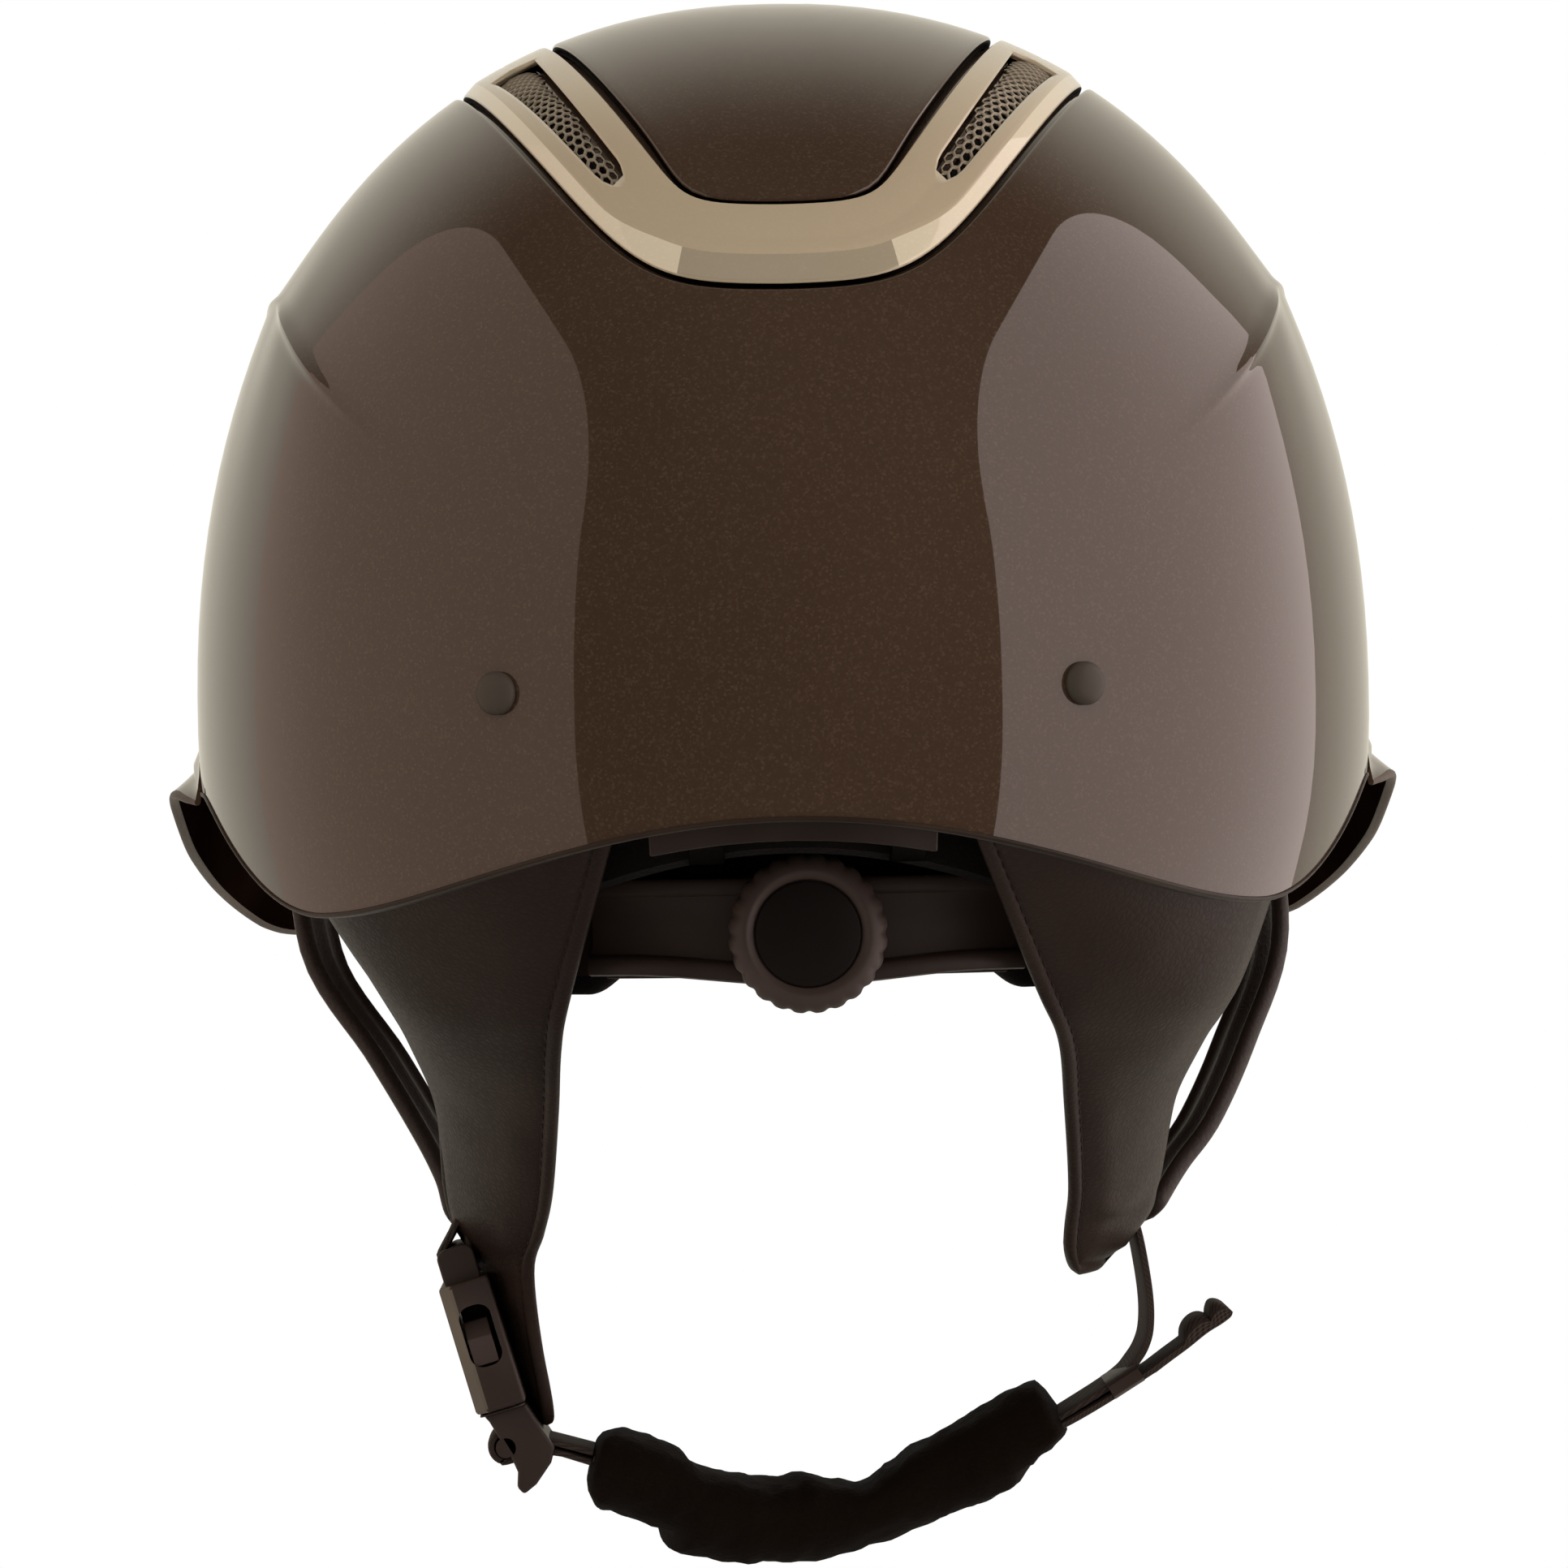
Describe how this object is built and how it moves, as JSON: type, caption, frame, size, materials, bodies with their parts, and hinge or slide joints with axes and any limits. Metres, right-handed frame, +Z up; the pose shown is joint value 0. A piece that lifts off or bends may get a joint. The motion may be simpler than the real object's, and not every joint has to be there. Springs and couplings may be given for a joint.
{
  "type": "riding helmet",
  "caption": "Riding helmet with a wide peak, a vented inlaid crown, a leather harness with a side release buckle, and a dial-set nape cradle.",
  "frame": {"origin": "inside of the crown, in the middle plane, where the top of the head touches the liner", "axes": "+X to the wearer's left, -Y forward to the peak, +Z up"},
  "size_m": [0.2232, 0.3243, 0.2825],
  "materials": {
    "shell": "gloss",
    "frame": "satin",
    "mesh": "satin",
    "trim": "matte",
    "foam": "matte",
    "padding": "matte",
    "fleece": "matte",
    "leather": "satin",
    "webbing": "matte",
    "plastic": "satin",
    "dial": "satin",
    "rivet": "satin",
    "steel": "satin"
  },
  "bodies": {
    "helmet": {"outer_shell": "shell", "crown_panel": "shell", "peak": "shell", "edge_trim": "trim", "vent_frame": "frame", "left_vent_mesh": "mesh", "right_vent_mesh": "mesh", "foam_liner": "foam", "comfort_band": "padding", "crown_pad": "padding", "hook_and_loop_dots": "webbing", "harness_rivets": "rivet", "rivet_washers": "steel", "left_ear_flap": "leather", "right_ear_flap": "leather", "left_front_strap": "leather", "right_front_strap": "leather", "front_anchor_studs": "plastic", "buckle_housing": "plastic", "buckle_hanger_web": "webbing", "chin_strap": "webbing", "chin_pad": "fleece", "strap_slider": "plastic", "right_hanger_web": "webbing", "strap_tail_tip": "webbing", "cradle_bracket": "plastic", "cradle_hangers": "plastic", "cradle_housing": "plastic", "cradle_cover": "plastic", "nape_pad": "padding", "left_arm_guide": "plastic", "right_arm_guide": "plastic"},
    "dial": {"dial_knob": "dial", "dial_cap": "dial", "dial_pinion": "dial", "dial_screw": "steel"},
    "left_arm": {"left_band_arm": "plastic"},
    "right_arm": {"right_band_arm": "plastic"},
    "plug": {"buckle_plug": "plastic", "plug_web": "webbing"},
    "front_press": {"front_prong": "plastic"},
    "rear_press": {"rear_prong": "plastic"}
  },
  "joints": [
    {"name": "dial_turn", "type": "hinge", "parent": "helmet", "child": "dial", "pos_m": [-0.0025, 0.096, -0.135], "axis": [0, 1, 0], "range_deg": [-127, 127]},
    {"name": "left_arm_run", "type": "hinge", "parent": "helmet", "child": "left_arm", "pos_m": [-0.0025, 0.018, -0.135], "axis": [0, 0, -1], "range_deg": [-7.9, 7.9]},
    {"name": "right_arm_run", "type": "hinge", "parent": "helmet", "child": "right_arm", "pos_m": [-0.0025, 0.018, -0.135], "axis": [0, 0, 1], "range_deg": [-7.9, 7.9]},
    {"name": "plug_release", "type": "slide", "parent": "helmet", "child": "plug", "axis": [-0.2756, 0, -0.9613], "range_m": [0, 0.022], "deforming": ["plug_web", "front_prong", "rear_prong"]},
    {"name": "front_prong_press", "type": "hinge", "parent": "plug", "child": "front_press", "pos_m": [0.05378, -0.012, -0.2195], "axis": [-0.9613, 0, 0.2756], "range_deg": [0, 13.5], "stiffness_Nm_per_rad": 0.05},
    {"name": "rear_prong_press", "type": "hinge", "parent": "plug", "child": "rear_press", "pos_m": [0.05378, 0.006, -0.2195], "axis": [0.9613, 0, -0.2756], "range_deg": [0, 13.5], "stiffness_Nm_per_rad": 0.05}
  ],
  "couplings": [
    {"joint": "left_arm_run", "follows": "dial_turn", "ratio": 0.061644},
    {"joint": "right_arm_run", "follows": "dial_turn", "ratio": 0.061644}
  ]
}
